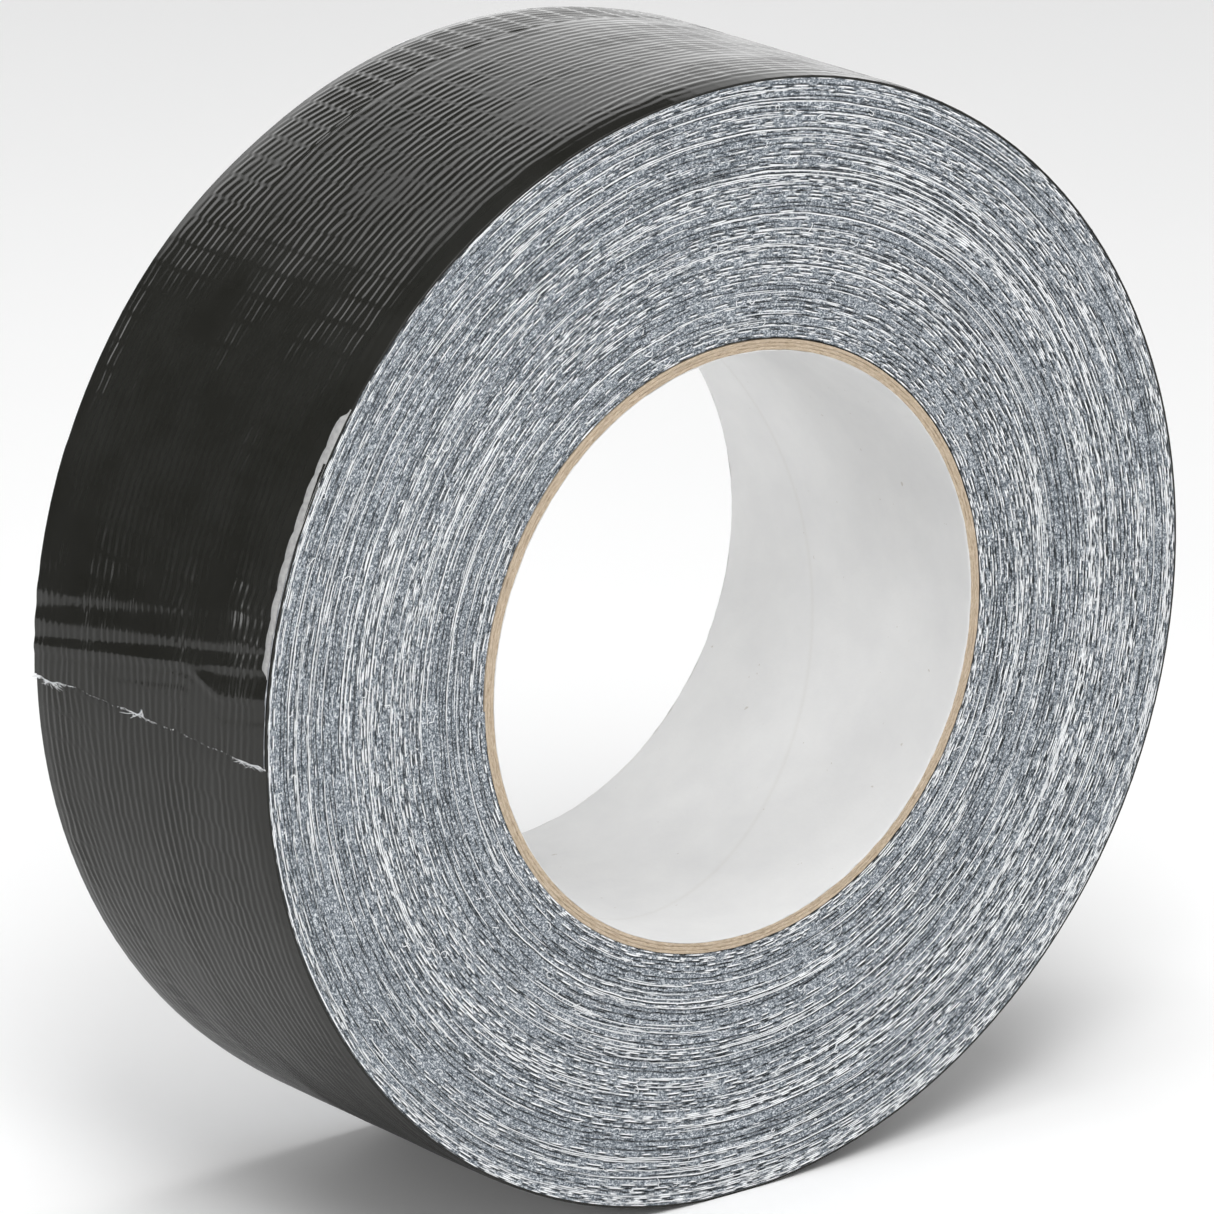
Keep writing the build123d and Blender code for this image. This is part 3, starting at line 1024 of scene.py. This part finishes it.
def studio_walls():
    """A bright wall behind on the right, softer light in front, a window on the left, and dark elsewhere."""
    world = bpy.data.worlds.new("studio")
    world.use_nodes = True
    tree = world.node_tree
    direction = tree.nodes.new("ShaderNodeTexCoord").outputs["Generated"]

    def joined(kind, first, second):
        node = tree.nodes.new("ShaderNodeMath")
        node.operation = kind
        tree.links.new(first, node.inputs[0])
        tree.links.new(second, node.inputs[1])
        return node.outputs[0]

    def patch(towards, edge, full, strength):
        """Light round the given direction, from nothing to full strength between two cosines."""
        facing = tree.nodes.new("ShaderNodeVectorMath")
        facing.operation = "DOT_PRODUCT"
        facing.inputs[1].default_value = towards
        tree.links.new(direction, facing.inputs[0])
        rise = tree.nodes.new("ShaderNodeMapRange")
        rise.interpolation_type = "SMOOTHSTEP"
        for socket, number in zip(rise.inputs[1:5], (edge, full, 0.0, strength)):
            socket.default_value = number
        tree.links.new(facing.outputs["Value"], rise.inputs[0])
        return rise.outputs[0]

    down = Vector((0, 0, -1))
    top = -math.sin(math.radians(WALL_TOP))
    height = joined("ADD", patch(down, top - 0.03, top + 0.02, 0.95), patch(down, top, -0.1, 0.55))
    right_of_edge = patch(toward(WALL_LEFT_EDGE - 90, 0), -0.03, 0.05, 1.0)
    behind = patch(Vector((0, 1, 0)), -0.5, 0.3, 1.0)
    wall = joined("MULTIPLY", joined("MULTIPLY", height, right_of_edge), behind)
    front = patch(toward(-10, 25), 0.03, 0.5, 0.62)
    window = patch(toward(254, -2), WINDOW_EDGE, WINDOW_FULL, 4.5)
    seen = tree.nodes.new("ShaderNodeLightPath").outputs["Is Camera Ray"]
    pale = tree.nodes.new("ShaderNodeMix")
    tree.links.new(seen, pale.inputs["Factor"])
    tree.links.new(joined("ADD", joined("ADD", wall, front), window), pale.inputs[2])
    pale.inputs[3].default_value = 0.97
    tree.links.new(pale.outputs[0], tree.nodes["Background"].inputs["Strength"])
    tree.nodes["Background"].inputs["Color"].default_value = (1, 1, 1, 1)
    bpy.context.scene.world = world


def studio():
    """Soft studio light: the walls, a softbox high in front, one overhead, and one behind for the bore."""
    studio_walls()
    softbox("key", -30, 52, 1.2, 0.5, 0.5, 8)
    softbox("overhead", 0, 90, 1.1, 0.6, 0.6, 4)
    rear = softbox("rear", 245, 15, 1.0, 0.3, 0.3, 2.5)
    rear.visible_glossy = False


def camera():
    """A long lens from the front left, a little above the roll's axis."""
    data = bpy.data.cameras.new("camera")
    data.lens = CAMERA_LENS
    data.sensor_width = 36
    data.clip_start, data.clip_end = 0.05, 50
    eye = bpy.data.objects.new("camera", data)
    bpy.context.scene.collection.objects.link(eye)
    back = toward(CAMERA_AZIMUTH, CAMERA_ELEVATION)
    eye.location = CAMERA_AIM + back * CAMERA_DISTANCE
    eye.rotation_mode = "QUATERNION"
    eye.rotation_quaternion = back.to_track_quat("Z", "Y")
    bpy.context.scene.camera = eye


outer_wrap_film()
outer_wrap_cloth()
free_end()
folded_edge()
torn_threads()
wound_side(-1, "front", 500)
wound_side(1, "back", 600)
side_threads(-1, "front", 701)
side_threads(1, "back", 702)
paper_tube()
floor()
studio()
camera()
bpy.context.scene.view_settings.view_transform = "Standard"
